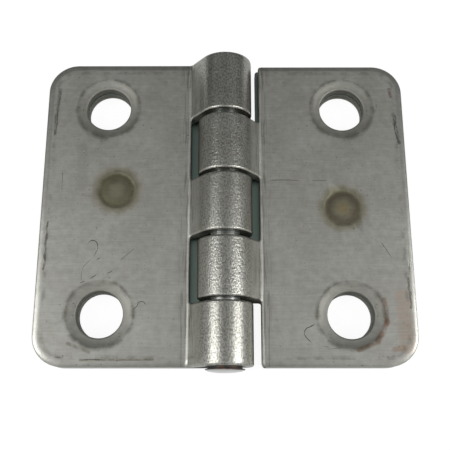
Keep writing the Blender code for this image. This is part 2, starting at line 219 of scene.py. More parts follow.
def add_object(name, data):
    """An object of the scene with this data."""
    thing = bpy.data.objects.new(name, data)
    bpy.context.scene.collection.objects.link(thing)
    return thing


def evaluated_mesh(thing):
    """What an object's modifiers give, as a plain mesh."""
    bpy.context.view_layer.update()
    return bpy.data.meshes.new_from_object(thing.evaluated_get(bpy.context.evaluated_depsgraph_get()))


def remove(*things):
    """Takes objects that are no longer needed out of the scene."""
    for thing in things:
        bpy.data.objects.remove(thing, do_unlink=True)


# The fold: the sheet's outer side seen along the pin, for a leaf on the +X side, with the axis at 0, 0

def arc(centre, radius, start, end, steps, outward):
    """Points of an arc with the outer side's normals: outward is 1 on a crown and -1 in a hollow."""
    points = []
    for i in range(steps + 1):
        angle = start + (end - start) * i / steps
        x, z = math.cos(angle), math.sin(angle)
        points.append(((centre[0] + radius * x, centre[1] + radius * z), (outward * x, outward * z)))
    return points


def fold_path():
    """The outer side from the front layer's edge round the barrel to the back layer's: run, place, normal."""
    front = -AXIS_ABOVE_FRONT
    bend_z = front + FRONT_BEND
    flank = (BARREL_RADIUS * math.sin(FLANK_ANGLE) - bend_z + FRONT_BEND * math.sin(FLANK_ANGLE))
    flank = flank / math.cos(FLANK_ANGLE)
    bend_x = (BARREL_RADIUS + FRONT_BEND) * math.cos(FLANK_ANGLE) + flank * math.sin(FLANK_ANGLE)
    back_z = -BACK_DEPTH - BACK_BEND
    back_x = math.sqrt((BARREL_RADIUS + BACK_BEND) ** 2 - back_z ** 2)
    back_angle = math.atan2(back_z, back_x)
    wrap = math.tau + back_angle - FLANK_ANGLE
    points = [((LEAF_REACH, front), (0.0, 1.0))]
    points += arc((bend_x, bend_z), FRONT_BEND, 1.5 * math.pi, math.pi + FLANK_ANGLE, BEND_STEPS, -1)
    points += arc((0.0, 0.0), BARREL_RADIUS, FLANK_ANGLE, FLANK_ANGLE + wrap, math.ceil(wrap / WRAP_STEP), 1)
    points += arc((back_x, back_z), BACK_BEND, math.pi + back_angle, math.pi / 2, BEND_STEPS, -1)[1:]
    points.append(((LEAF_REACH, -BACK_DEPTH), (0.0, -1.0)))
    path, run = [], 0.0
    for i, (place, normal) in enumerate(points):
        if i:
            run += math.dist(place, points[i - 1][0])
        path.append((run, place, normal))
    return path


PATH = fold_path()
SHEET_LENGTH = PATH[-1][0]


def run_at(x, layer, depth=0.0):
    """How far along the sheet the front or the back layer is at this distance from the pin, at a depth below
    its outer side."""
    steps = list(zip(PATH, PATH[1:]))
    if layer == "back":
        steps.reverse()
    for (run_a, place_a, normal_a), (run_b, place_b, normal_b) in steps:
        x_a, x_b = place_a[0] - normal_a[0] * depth, place_b[0] - normal_b[0] * depth
        if min(x_a, x_b) <= x <= max(x_a, x_b):
            return run_a + (run_b - run_a) * (x - x_a) / (x_b - x_a)
    raise ValueError("the sheet never comes this near to the pin")


# The flat blank: X runs along the sheet, Y along the pin, and the outer side is at Z = 0

def rounded_loop(corners, share):
    """A closed outline, drawn in by a share of its border's roll. A corner is x, y, radius, steps and the
    roll before and after it; one without steps is a point on a straight edge. The sheet lies to the left."""
    points = []
    for i, (x, y, radius, steps, roll_before, roll_after) in enumerate(corners):
        before, after = corners[i - 1], corners[(i + 1) % len(corners)]
        into = Vector((x - before[0], y - before[1])).normalized()
        out = Vector((after[0] - x, after[1] - y)).normalized()
        place = Vector((x, y)) + share * roll_before * Vector((-into.y, into.x))
        if steps == 0:
            points.append(place)
            continue
        place += share * roll_after * Vector((-out.y, out.x))
        convex = into.cross(out) > 0
        side = -1 if convex else 1
        drawn = radius + side * share * (min if convex else max)(roll_before, roll_after)
        centre = place + drawn * (out - into)
        start = math.atan2(side * into.x, -side * into.y)
        for k in range(steps + 1):
            angle = start - side * math.pi / 2 * k / steps
            points.append(centre + drawn * Vector((math.cos(angle), math.sin(angle))))
    return points


def window(low_y, high_y, depth):
    """The corners of a closed slot through which a knuckle of the other leaf passes."""
    start, end = run_at(FRONT_SLOT_END, "front", depth), run_at(MIDDLE_SLOT_END, "back", depth)
    corner = (SLOT_CORNER, SLOT_CORNER_STEPS, SLOT_ROLL, SLOT_ROLL)
    return [(start, low_y, *corner), (start, high_y, *corner), (end, high_y, *corner), (end, low_y, *corner)]


def knuckle_span(number):
    """Lowest and highest place along the pin of a knuckle, counted from 0 at the far end."""
    centre = ((KNUCKLES - 1) / 2 - number) * KNUCKLE_PITCH - KNUCKLE_OFFSET
    half = (KNUCKLE_PITCH - KNUCKLE_GAP) / 2
    return centre - half, centre + half


def left_outline(depth):
    """The left blank at a depth below its outer side. It keeps the first, third and fifth knuckle, and the
    ends of its slots stand square to the leaf once it is folded."""
    half = LEAF_HEIGHT / 2
    start, end = run_at(FRONT_SLOT_END, "front"), run_at(FRONT_SLOT_END, "back")
    rolls = [(start - ROLL_TAPER, LEAF_ROLL), (start, SLOT_ROLL),
             (end, SLOT_ROLL), (end + ROLL_TAPER, LEAF_ROLL)]
    near_end = [(x, -half, 0, 0, roll, roll) for x, roll in rolls]
    far_end = [(x, half, 0, 0, roll, roll) for x, roll in reversed(rolls)]
    corner = (LEAF_CORNER, CORNER_STEPS, LEAF_ROLL, LEAF_ROLL)
    outlines = [[(0, -half, *corner), *near_end, (SHEET_LENGTH, -half, *corner),
                 (SHEET_LENGTH, half, *corner), *far_end, (0, half, *corner)]]
    for number in range(1, KNUCKLES, 2):
        low, high = knuckle_span(number)
        outlines.append(window(low - KNUCKLE_GAP, high + KNUCKLE_GAP, depth))
    return outlines


def right_outline(depth):
    """The same for the right blank, which keeps the second and fourth knuckle and is notched at both ends."""
    half = (LEAF_HEIGHT - RIGHT_LEAF_SHORTER) / 2
    start = run_at(FRONT_SLOT_END, "front", depth)
    near, far = run_at(NEAR_NOTCH_END, "back"), run_at(FAR_NOTCH_END, "back")
    low, high = knuckle_span(KNUCKLES - 2)[0], knuckle_span(1)[1]
    corner = (LEAF_CORNER, CORNER_STEPS, LEAF_ROLL, LEAF_ROLL)
    into_notch = (NOTCH_CORNER, SLOT_CORNER_STEPS, LEAF_ROLL, SLOT_ROLL)
    out_of_notch = (NOTCH_CORNER, SLOT_CORNER_STEPS, SLOT_ROLL, LEAF_ROLL)
    slot = (SLOT_CORNER, SLOT_CORNER_STEPS, SLOT_ROLL, SLOT_ROLL)
    outlines = [[
        (0, -half, *corner), (start, -half, *into_notch), (start, low, *slot), (near, low, *slot),
        (near, -half, *out_of_notch), (SHEET_LENGTH, -half, *corner), (SHEET_LENGTH, half, *corner),
        (far, half, *into_notch), (far, high, *slot), (start, high, *slot), (start, half, *out_of_notch),
        (0, half, *corner)]]
    for number in range(2, KNUCKLES - 2, 2):
        outlines.append(window(knuckle_span(number + 1)[1], knuckle_span(number - 1)[0], depth))
    return outlines


def flat_blank(name, outlines_at):
    """The outlines as a plate whose outer side has its border rolled off, as a quarter of an ellipse."""
    levels = [(0.0, -SHEET), (0.0, -SHEET / 2)]
    for i in range(ROLL_STEPS + 1):
        angle = math.pi / 2 * i / ROLL_STEPS
        levels.append((1 - math.cos(angle), ROLL_DEPTH * (math.sin(angle) - 1)))
    form = bmesh.new()
    rings = []
    for share, height in levels:
        rings.append([])
        for outline in outlines_at(-height):
            verts = [form.verts.new((x, y, height)) for x, y in rounded_loop(outline, share)]
            rings[-1].append([form.edges.new((vert, verts[i - 1])) for i, vert in enumerate(verts)])
    for lower, upper in zip(rings, rings[1:]):
        for below, above in zip(lower, upper):
            bmesh.ops.bridge_loops(form, edges=below + above)
    for edges in (sum(rings[0], []), sum(rings[-1], [])):
        bmesh.ops.triangle_fill(form, edges=edges, use_beauty=True)
    bmesh.ops.recalc_face_normals(form, faces=form.faces)
    mesh = bpy.data.meshes.new(name)
    form.to_mesh(mesh)
    form.free()
    return mesh


def add_turned(form, profile, x, y, steps=HOLE_STEPS):
    """Adds a turned cutter to a form, from a profile of radius and height that ends on its axis."""
    verts = [form.verts.new((x + radius, y, height)) for radius, height in profile]
    edges = [form.edges.new(pair) for pair in zip(verts, verts[1:])]
    bmesh.ops.spin(form, geom=verts + edges, cent=(x, y, 0), axis=(0, 0, 1), angle=math.tau,
                   steps=steps, use_merge=True)


def seat_profile():
    """The screw's seat: a pressed dish, then a rounded lip down into the hole."""
    hole, dish = HOLE_DIAMETER / 2, DISH_DIAMETER / 2
    lip = hole + LIP_WIDTH
    profile = [(0, CUT_MARGIN), (dish, CUT_MARGIN)]
    for i in range(DISH_STEPS + 1):
        share = i / DISH_STEPS
        fall = share + math.sin(math.tau * share) * DISH_SOFTNESS
        profile.append((dish + (lip - dish) * share, SKIM - (DISH_DEPTH + SKIM) * fall))
    for i in range(1, LIP_STEPS + 1):
        angle = math.pi / 2 * i / LIP_STEPS
        profile.append((lip - LIP_WIDTH * math.sin(angle), -DISH_DEPTH - LIP_DEPTH * (1 - math.cos(angle))))
    return profile + [(hole, -SHEET - CUT_MARGIN), (0, -SHEET - CUT_MARGIN)]


def weld_profile():
    """The round mark that an electrode presses into the sheet, with a slightly raised middle."""
    mark = WELD_DIAMETER / 2
    inner = [(mark * share, -WELD_DEPTH * deep) for share, deep in (WELD_RING, WELD_RISE)]
    return [(0, CUT_MARGIN), (mark + WELD_SLOPE * (WELD_DEPTH + CUT_MARGIN), CUT_MARGIN),
            (mark, -WELD_DEPTH), *inner, (0, -WELD_DEPTH * WELD_MIDDLE)]


def cut_away(mesh, cutter):
    """A mesh less what a cutter's mesh takes from it."""
    plate, tool = add_object("plate", mesh), add_object("cutter", cutter)
    cut = plate.modifiers.new("cut", "BOOLEAN")
    cut.operation = "DIFFERENCE"
    cut.object = tool
    mesh = evaluated_mesh(plate)
    remove(plate, tool)
    return mesh


def scratch_tree():
    """Geometry Nodes that sweep a wedge along lines, rounded between their points and thin at their ends."""
    tree = bpy.data.node_groups.new("scratch_wedges", "GeometryNodeTree")
    for name, kind in (("Lines", "NodeSocketGeometry"), ("Depth", "NodeSocketFloat"),
                       ("Step", "NodeSocketFloat"), ("Metal", "NodeSocketMaterial")):
        tree.interface.new_socket(name, in_out="INPUT", socket_type=kind)
    tree.interface.new_socket("Wedges", in_out="OUTPUT", socket_type="NodeSocketGeometry")
    given = add_node(tree, "NodeGroupInput").outputs
    curve = add_node(tree, "GeometryNodeMeshToCurve", {"Mesh": given["Lines"]}).outputs["Curve"]
    curve = add_node(tree, "GeometryNodeCurveSplineType", {"Curve": curve},
                     spline_type="CATMULL_ROM").outputs[0]
    curve = add_node(tree, "GeometryNodeResampleCurve", {"Curve": curve, "Length": given["Step"]},
                     mode="LENGTH").outputs[0]
    curve = add_node(tree, "GeometryNodeSetCurveNormal", {"Curve": curve}, mode="Z_UP").outputs[0]
    share = add_node(tree, "GeometryNodeSplineParameter").outputs["Factor"]
    thin = add_node(tree, TIMES, (share, add_node(tree, MINUS, (1.0, share))))
    thin = add_node(tree, TIMES, (thin, SCRATCH_SWELL))
    thin = add_node(tree, PLUS, (thin, SCRATCH_END), use_clamp=True)
    width = add_node(tree, "GeometryNodeInputNamedAttribute", {"Name": "half_width"}, data_type="FLOAT")
    width = add_node(tree, TIMES, (width.outputs["Attribute"], thin))
    wedge = add_node(tree, "GeometryNodeCurvePrimitiveCircle", {"Resolution": 4, "Radius": 1.0},
                     mode="RADIUS")
    size = add_node(tree, "ShaderNodeCombineXYZ", {"X": 1.0, "Y": given["Depth"], "Z": 1.0})
    wedge = add_node(tree, "GeometryNodeTransform", {"Geometry": wedge.outputs[0], "Scale": size.outputs[0]})
    wedges = add_node(tree, "GeometryNodeCurveToMesh", {"Curve": curve, "Profile Curve": wedge.outputs[0],
                      "Scale": width, "Fill Caps": True}).outputs[0]
    wedges = add_node(tree, "GeometryNodeRealizeInstances", {"Geometry": wedges}).outputs[0]
    wedges = add_node(tree, "GeometryNodeSetMaterial",
                      {"Geometry": wedges, "Material": given["Metal"]}).outputs[0]
    add_node(tree, "NodeGroupOutput", {"Wedges": wedges})
    return tree


def cut_wear(blank, scratches, pits, wedge_tree, metal):
    """Cuts scratches and pits into the front face of a flat blank."""
    places, lines, widths = [], [], []
    for half_width, points in scratches:
        first = len(places)
        places += [(run_at(x / PER_METRE, "front"), y / PER_METRE, SKIM / 10) for x, y in points]
        widths += [half_width / PER_METRE] * len(points)
        lines += [(i, i + 1) for i in range(first, len(places) - 1)]
    mesh = bpy.data.meshes.new("scratch_lines")
    mesh.from_pydata(places, lines, [])
    for width, entry in zip(widths, mesh.attributes.new("half_width", "FLOAT", "POINT").data):
        entry.value = width
    mesh = run_tree(add_object("scratch_lines", mesh), wedge_tree,
                    {"Depth": WEAR_DEPTH, "Step": WEAR_STEP, "Metal": metal})
    form = bmesh.new()
    form.from_mesh(mesh)
    for x, y, radius in pits:
        deep, run, along = radius * WEAR_DEPTH, run_at(x / PER_METRE, "front"), y / PER_METRE
        profile = [(r / PER_METRE, z / PER_METRE) for r, z in ((0, deep), (radius * 2, deep), (0, -deep))]
        add_turned(form, profile, run, along, PIT_STEPS)
    bmesh.ops.remove_doubles(form, verts=form.verts, dist=MERGE)
    bmesh.ops.recalc_face_normals(form, faces=form.faces)
    form.to_mesh(mesh)
    form.free()
    return cut_away(blank, mesh)


def cut_blank(name, mesh, weld):
    """Cuts the screw holes and the weld's marks into the flat blank."""
    hole = HOLE_DIAMETER / 2
    plain = [(0, CUT_MARGIN), (hole, CUT_MARGIN), (hole, -SHEET - CUT_MARGIN), (0, -SHEET - CUT_MARGIN)]
    form = bmesh.new()
    for layer, profile in (("front", seat_profile()), ("back", plain)):
        for side in (-1, 1):
            add_turned(form, profile, run_at(HOLE_FROM_AXIS, layer), side * HOLE_SPACING / 2)
        add_turned(form, weld_profile(), run_at(weld[0], layer), weld[1])
    bmesh.ops.remove_doubles(form, verts=form.verts, dist=MERGE)
    bmesh.ops.recalc_face_normals(form, faces=form.faces)
    punch = bpy.data.meshes.new(name + "_punch")
    form.to_mesh(punch)
    form.free()
    return cut_away(mesh, punch)


def divide_at_folds(mesh):
    """Lines across the sheet where it bends, and the place of each point on the blank as an attribute."""
    form = bmesh.new()
    form.from_mesh(mesh)
    for run, _, _ in PATH[1:-1]:
        bmesh.ops.bisect_plane(form, geom=form.verts[:] + form.edges[:] + form.faces[:], dist=SNAP,
                               plane_co=(run, 0, 0), plane_no=(1, 0, 0))
    bmesh.ops.triangulate(form, faces=[face for face in form.faces if len(face.verts) > 4])
    form.to_mesh(mesh)
    form.free()
    places = mesh.attributes.new("blank_place", "FLOAT_VECTOR", "POINT")
    for vert, entry in zip(mesh.vertices, places.data):
        entry.vector = vert.co


def path_object():
    """The fold's path as a line of points that carry the outer side's normal."""
    mesh = bpy.data.meshes.new("fold_path")
    mesh.from_pydata([(x, 0, z) for _, (x, z), _ in PATH], [(i, i + 1) for i in range(len(PATH) - 1)], [])
    outward = mesh.attributes.new("outward", "FLOAT_VECTOR", "POINT")
    for (_, _, (x, z)), entry in zip(PATH, outward.data):
        entry.vector = (x, 0, z)
    return add_object("fold_path", mesh)


def fold_tree():
    """Geometry Nodes that wrap a flat blank round the pin along the fold's path."""
    tree = bpy.data.node_groups.new("wrap_round_the_pin", "GeometryNodeTree")
    for name, kind in (("Blank", "NodeSocketGeometry"), ("Fold path", "NodeSocketObject"),
                       ("Side", "NodeSocketFloat"), ("Pin axis", "NodeSocketVector"),
                       ("Along pin", "NodeSocketFloat"), ("Metal", "NodeSocketMaterial")):
        tree.interface.new_socket(name, in_out="INPUT", socket_type=kind)
    tree.interface.new_socket("Leaf", in_out="OUTPUT", socket_type="NodeSocketGeometry")
    given = add_node(tree, "NodeGroupInput").outputs
    line = add_node(tree, "GeometryNodeObjectInfo", {"Object": given["Fold path"]}).outputs["Geometry"]
    curve = add_node(tree, "GeometryNodeMeshToCurve", {"Mesh": line}).outputs["Curve"]
    normal = add_node(tree, "GeometryNodeInputNamedAttribute", {"Name": "outward"}, data_type="FLOAT_VECTOR")
    flat = add_node(tree, "GeometryNodeInputPosition").outputs["Position"]
    flat = add_node(tree, "ShaderNodeSeparateXYZ", {"Vector": flat}).outputs
    on_path = add_node(tree, "GeometryNodeSampleCurve",
                       {"Curves": curve, "Value": normal.outputs["Attribute"], "Length": flat["X"]},
                       mode="LENGTH", data_type="FLOAT_VECTOR", use_all_curves=True).outputs
    outward = add_node(tree, "ShaderNodeVectorMath", {0: on_path["Value"], "Scale": flat["Z"]},
                       operation="SCALE")
    place = add_node(tree, "ShaderNodeVectorMath", {0: on_path["Position"], 1: outward.outputs[0]},
                     operation="ADD")
    place = add_node(tree, "ShaderNodeSeparateXYZ", {"Vector": place.outputs[0]}).outputs
    sideways = add_node(tree, TIMES, (place["X"], given["Side"]))
    along = add_node(tree, PLUS, (flat["Y"], given["Along pin"]))
    place = add_node(tree, "ShaderNodeCombineXYZ", {"X": sideways, "Y": along, "Z": place["Z"]})
    place = add_node(tree, "ShaderNodeVectorMath", {0: place.outputs[0], 1: given["Pin axis"]},
                     operation="ADD")
    leaf = add_node(tree, "GeometryNodeSetPosition",
                    {"Geometry": given["Blank"], "Position": place.outputs[0]})
    turned = add_node(tree, "FunctionNodeCompare", {"A": given["Side"], "B": 0.0},
                      operation="GREATER_THAN")
    leaf = add_node(tree, "GeometryNodeFlipFaces", {"Mesh": leaf.outputs[0], "Selection": turned.outputs[0]})
    leaf = add_node(tree, "GeometryNodeMergeByDistance", {"Geometry": leaf.outputs[0], "Distance": MERGE})
    leaf = add_node(tree, "GeometryNodeRealizeInstances", {"Geometry": leaf.outputs[0]})
    leaf = add_node(tree, "GeometryNodeSetMaterial",
                    {"Geometry": leaf.outputs[0], "Material": given["Metal"]})
    add_node(tree, "NodeGroupOutput", {"Leaf": leaf.outputs[0]})
    return tree


def run_tree(thing, tree, values):
    """The plain mesh that a Geometry Nodes tree makes of an object, with its named inputs set."""
    modifier = thing.modifiers.new(tree.name, "NODES")
    modifier.node_group = tree
    for item in tree.interface.items_tree:
        if item.in_out == "INPUT" and item.name in values:
            modifier[item.identifier] = values[item.name]
    mesh = evaluated_mesh(thing)
    remove(thing)
    return mesh


def smooth_piece(name, mesh):
    """A piece that shades smoothly, with its flat faces kept flat to the eye and its edges sharp."""
    mesh.shade_smooth()
    mesh.set_sharp_from_angle(angle=SHARP_ANGLE)
    rough = add_object(name + "_rough", mesh)
    shading = rough.modifiers.new("flat_faces_first", "WEIGHTED_NORMAL")
    shading.mode = "FACE_AREA"
    shading.weight = FLAT_FACE_WEIGHT
    shading.keep_sharp = True
    mesh = evaluated_mesh(rough)
    remove(rough)
    mesh.name = name
    return add_object(name, mesh)


def make_leaf(name, node, body, side, outlines, weld, wear, drop, trees, path, metal):
    """One leaf, folded from its blank, in place of the plain one."""
    folding, scratching = trees
    mesh = cut_blank(name, flat_blank(name, outlines), weld)
    mesh = cut_wear(mesh, *wear, scratching, metal)
    divide_at_folds(mesh)
    blank = add_object(name + "_flat", mesh)
    mesh = run_tree(blank, folding, {"Fold path": path, "Side": float(side), "Pin axis": AXIS,
                                     "Along pin": -drop, "Metal": metal})
    leaf = smooth_piece(name, mesh)
    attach(leaf, body)
    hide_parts(node)
    return leaf


# Metals

FLAT_FINISH = 0.46  # roughness of the sheet as it comes from the mill
WORKED_FINISH = 0.27  # where bending and tumbling have rubbed it smooth
BAR_FINISH = 0.15
# roughness of the band of painted shadow round the riveted end
SHADOW_BAND_FINISH = 0.6
WRAP_START = PATH[BEND_STEPS + 2][0] * PER_METRE  # along the blank, in millimetres
WRAP_END = PATH[-BEND_STEPS - 2][0] * PER_METRE
WRAP_FADE = 2.5  # the barrel's grain dies out over this length of the blank

# Patterns of the sheet: how far each is drawn out along the sheet, along the pin and through the sheet (the
# smaller the factor, the longer), the size of its clumps in millimetres, its detail and its roughness. The
# real fine grain and streaks are finer, and are drawn as coarse as they need to be to show.
PATTERNS = {
    "opened grain": ((1.0, 0.7, 1.0), 0.30, 2.0, 0.7),
    "fine grain": ((1.0, 1.0, 1.0), 0.25, 2.0, 0.6),
    "waves": ((1.0, 1.0, 1.0), 5.0, 2.0, 0.5),
    "clouds": ((1.0, 1.0, 1.0), 9.0, 3.0, 0.5),
    "smudges": ((1.0, 1.0, 1.0), 1.3, 3.0, 0.6),
    "rolling streaks": ((0.045, 1.0, 1.0), 0.35, 3.0, 0.7),
    "specks": ((1.0, 1.0, 1.0), 0.55, 1.0, 0.5),
    "dirt": ((1.0, 1.0, 1.0), 2.2, 3.0, 0.5),
    "patches on the seat rims": ((1.0, 1.0, 1.0), 3.0, 3.0, 0.5),
    "lines along the bends": ((1.0, 0.05, 1.0), 0.4, 2.0, 0.6),
    "edge of the tint": ((1.0, 1.0, 1.0), 1.6, 2.0, 0.5),
}
TINT_WOBBLE = 0.9  # how uneven the tint's edge is, in millimetres
BEND_LINES_START = (26.0, 27.4)  # along the blank, where the front's bend begins to show its fine lines
BEND_LINES_END = (29.5, 31.5)
FRONT_FLAT_END = (26.9, 27.3)
END_KNUCKLES = (17.4, 18.2)  # along the pin from mid-height, where the grain turns finer
# How far each relief rises, in millimetres
MIDDLE_RELIEF = 0.068
OUTER_RELIEF = 0.040  # the two end knuckles have finer grain
FINE_RELIEF = 0.004
WAVE_RELIEF = 0.03


def long_side(tree, across, up):
    """The long side of a right-angled triangle."""
    squares = [add_node(tree, TIMES, (side, side)) for side in (across, up)]
    return add_node(tree, ROOT, (add_node(tree, PLUS, squares),))


def distance_from(tree, run, along, x, y):
    """Distance on the blank from a point, in millimetres."""
    return long_side(tree, add_node(tree, MINUS, (run, x)), add_node(tree, MINUS, (along, y)))


def edge_distance(tree, run, along):
    """Distance on the blank from its rounded outer edge, in millimetres."""
    length, half = SHEET_LENGTH / 2 * PER_METRE, LEAF_HEIGHT / 2 * PER_METRE
    corner = LEAF_CORNER * PER_METRE
    across = add_node(tree, ABSOLUTE, (add_node(tree, MINUS, (run, length)),))
    across = add_node(tree, MINUS, (across, length - corner))
    up = add_node(tree, MINUS, (add_node(tree, ABSOLUTE, (along,)), half - corner))
    outside = long_side(tree, add_node(tree, GREATER, (across, 0.0)), add_node(tree, GREATER, (up, 0.0)))
    inside = add_node(tree, LESSER, (add_node(tree, GREATER, (across, up)), 0.0))
    return add_node(tree, MINUS, (corner, add_node(tree, PLUS, (outside, inside))))


def near_line(tree, run, along, start, end, half_width):
    """1 on a straight line between two points on the blank, and 0 past its half width, in millimetres."""
    length = math.dist(start, end)
    way = [(b - a) / length for a, b in zip(start, end)]
    across, up = add_node(tree, MINUS, (run, start[0])), add_node(tree, MINUS, (along, start[1]))
    on_way = add_node(tree, PLUS,
                      (add_node(tree, TIMES, (across, way[0])), add_node(tree, TIMES, (up, way[1]))))
    on_way = add_node(tree, LESSER, (add_node(tree, GREATER, (on_way, 0.0)), length))
    x = add_node(tree, PLUS, (add_node(tree, TIMES, (on_way, way[0])), start[0]))
    y = add_node(tree, PLUS, (add_node(tree, TIMES, (on_way, way[1])), start[1]))
    apart = distance_from(tree, run, along, x, y)
    return add_node(tree, SOFT_STEP, (apart, half_width * 0.3, half_width, 1.0, 0.0))


def stainless_sheet(name, weld, tint_steps, stains):
    """Mill-finished stainless sheet, folded and tumbled. The flats stay matt with the mill's fine streaks,
    the barrel and the border are rubbed smoother, and the pressed seats are duller. Bending has opened the
    grain on the barrel, which sparkles, and a spot weld leaves a heat tint."""
    metal = bpy.data.materials.new(name)
    metal.use_nodes = True
    tree = metal.node_tree
    shader = tree.nodes["Principled BSDF"]
    place = add_node(tree, "ShaderNodeAttribute", attribute_name="blank_place").outputs["Vector"]
    place = add_node(tree, "ShaderNodeVectorMath", {0: place, "Scale": float(PER_METRE)},
                     operation="SCALE")
    run, along, height_in_sheet = add_node(tree, "ShaderNodeSeparateXYZ", {"Vector": place}).outputs
    noise = {}
    for pattern, (stretch, size, detail, roughness) in PATTERNS.items():
        drawn_out = add_node(tree, "ShaderNodeVectorMath", (place, stretch), operation="MULTIPLY")
        noise[pattern] = add_node(tree, "ShaderNodeTexNoise", {
            "Vector": drawn_out, "Scale": 1 / size, "Detail": detail, "Roughness": roughness})

    # Where the sheet has been worked
    bent = add_node(tree, TIMES,
                    (add_node(tree, SOFT_STEP, (run, WRAP_START - WRAP_FADE, WRAP_START)),
                     add_node(tree, SOFT_STEP, (run, WRAP_END, WRAP_END + WRAP_FADE, 1.0, 0.0))))
    hole_run, hole_along = run_at(HOLE_FROM_AXIS, "front") * PER_METRE, HOLE_SPACING / 2 * PER_METRE
    from_hole = add_node(tree, LESSER,
                         (distance_from(tree, run, along, hole_run, -hole_along),
                          distance_from(tree, run, along, hole_run, hole_along)))
    rim = DISH_DIAMETER / 2 * PER_METRE
    seat = add_node(tree, SOFT_STEP, (from_hole, rim - 0.1, rim + 0.25, 1.0, 0.0))
    seat_rim_shade = add_node(tree, TIMES,
                        (add_node(tree, SOFT_STEP, (from_hole, rim - 1.0, rim - 0.1)),
                         add_node(tree, SOFT_STEP, (from_hole, rim, rim + 0.7, 1.0, 0.0))))
    from_edge = edge_distance(tree, run, along)
    roll = LEAF_ROLL * PER_METRE
    border = add_node(tree, SOFT_STEP, (from_edge, roll * 0.7, roll * 1.15, 1.0, 0.0))
    worked = add_node(tree, GREATER, (bent, add_node(tree, TIMES, (border, 0.7))))

    # Grain: open on the middle knuckles, finer on the two at the ends, and hardly there on the flats
    coarse_grain = noise["opened grain"]
    outer_knuckles = add_node(tree, SOFT_STEP, (add_node(tree, ABSOLUTE, (along,)), *END_KNUCKLES))
    relief = add_node(tree, SOFT_STEP, (outer_knuckles, 0.0, 1.0, MIDDLE_RELIEF, OUTER_RELIEF))
    height = add_node(tree, TIMES, (coarse_grain, add_node(tree, TIMES, (bent, relief))))
    for pattern, rise in (("fine grain", FINE_RELIEF), ("waves", WAVE_RELIEF)):
        height = add_node(tree, PLUS, (height, add_node(tree, TIMES, (noise[pattern], rise))))
    bump = add_node(tree, "ShaderNodeBump", {"Height": height, "Distance": 0.001, "Strength": 1.0})
    tree.links.new(bump.outputs["Normal"], shader.inputs["Normal"])

    # The hollows of the opened grain are painted darker, as painted shade
    grain_hollow_shade = add_node(tree, TIMES,
                          (bent, add_node(tree, SOFT_STEP, (coarse_grain, 0.40, 0.56, 1.0, 0.0))))

    # Colour: a warm grey, clouded, with dark specks where dirt sits
    smudges = noise["smudges"]
    unbent = add_node(tree, MINUS, (1.0, bent))
    base = add_node(tree, "ShaderNodeValToRGB", (noise["clouds"],),
                    stops=[(0.3, "#a2a19b"), (0.7, "#aeaea9")])
    for share, pattern, stops in ((unbent, "rolling streaks", [(0.35, "#f4f4f4"), (0.65, "#ffffff")]),
                                  (1.0, "smudges", [(0.32, "#eeeeec"), (0.7, "#ffffff")])):
        shade = add_node(tree, "ShaderNodeValToRGB", (noise[pattern],), stops=stops)
        base = add_node(tree, TINT, {FACTOR: share, BELOW: base, ABOVE: shade})
    specks = add_node(tree, SOFT_STEP, (noise["specks"], 0.70, 0.78))
    base = add_node(tree, TINT, {FACTOR: specks, BELOW: base, ABOVE: colour("#c2c1bd")})
    dirt_line = add_node(tree, TIMES,
                         (add_node(tree, SOFT_STEP, (from_edge, 1.2, 1.5)),
                          add_node(tree, SOFT_STEP, (from_edge, 1.6, 2.4, 1.0, 0.0))))
    patches = add_node(tree, SOFT_STEP, (noise["dirt"], 0.42, 0.66))
    for mask in (patches, unbent):
        dirt_line = add_node(tree, TIMES, (dirt_line, mask))
    base = add_node(tree, TINT, {FACTOR: dirt_line, BELOW: base, ABOVE: colour("#dededc")})
    # Painted shade in the hollows of the opened grain
    base = add_node(tree, TINT, {FACTOR: grain_hollow_shade, BELOW: base, ABOVE: colour("#c6c6c2")})

    # The seats are duller from the press and painted darker, with painted shade along their rims, broken into
    # patches; the bends have fine lines along the pin
    base = add_node(tree, TINT, {FACTOR: seat, BELOW: base, ABOVE: colour("#e4e4e2")})
    # Painted shade along the rims of the seats, broken into patches
    seat_rim_patches = add_node(tree, SOFT_STEP, (noise["patches on the seat rims"], 0.40, 0.6))
    seat_rim_shade = add_node(tree, TIMES, (seat_rim_shade, seat_rim_patches))
    base = add_node(tree, TINT, {FACTOR: seat_rim_shade, BELOW: base, ABOVE: colour("#d0d0cd")})
    fine_lines = add_node(tree, SOFT_STEP, (noise["lines along the bends"], 0.5, 0.62))
    at_bend = add_node(tree, TIMES,
                       (add_node(tree, SOFT_STEP, (run, *BEND_LINES_START)),
                        add_node(tree, SOFT_STEP, (run, *BEND_LINES_END, 1.0, 0.0))))
    fine_lines = add_node(tree, TIMES, (fine_lines, at_bend))
    base = add_node(tree, TINT, {FACTOR: fine_lines, BELOW: base, ABOVE: colour("#d6d6d3")})

    # Heat tint of the spot weld, on both faces, with an uneven edge
    wobble = add_node(tree, MINUS, (noise["edge of the tint"], 0.5))
    wobble = add_node(tree, TIMES, (wobble, TINT_WOBBLE))
    weld_size = WELD_DIAMETER * PER_METRE
    behind_weld, from_weld = (
        distance_from(tree, run, along, run_at(weld[0], layer) * PER_METRE, weld[1] * PER_METRE)
        for layer in ("back", "front"))
    around = [add_node(tree, OVER, (add_node(tree, PLUS, (apart, wobble)), weld_size))
              for apart in (behind_weld, from_weld)]
    tint = add_node(tree, "ShaderNodeValToRGB", (add_node(tree, LESSER, around),), stops=tint_steps)
    base = add_node(tree, TINT, {FACTOR: 1.0, BELOW: base, ABOVE: tint})

    # Stains that oil and handling have left on the front
    for start, end, half_width, code in stains:
        shape = near_line(tree, add_node(tree, PLUS, (run, wobble)), along, start, end, half_width)
        shape = add_node(tree, TIMES,
                         (shape, add_node(tree, SOFT_STEP, (smudges, 0.36, 0.56, 0.35, 1.0))))
        base = add_node(tree, TINT, {FACTOR: shape, BELOW: base, ABOVE: colour(code)})

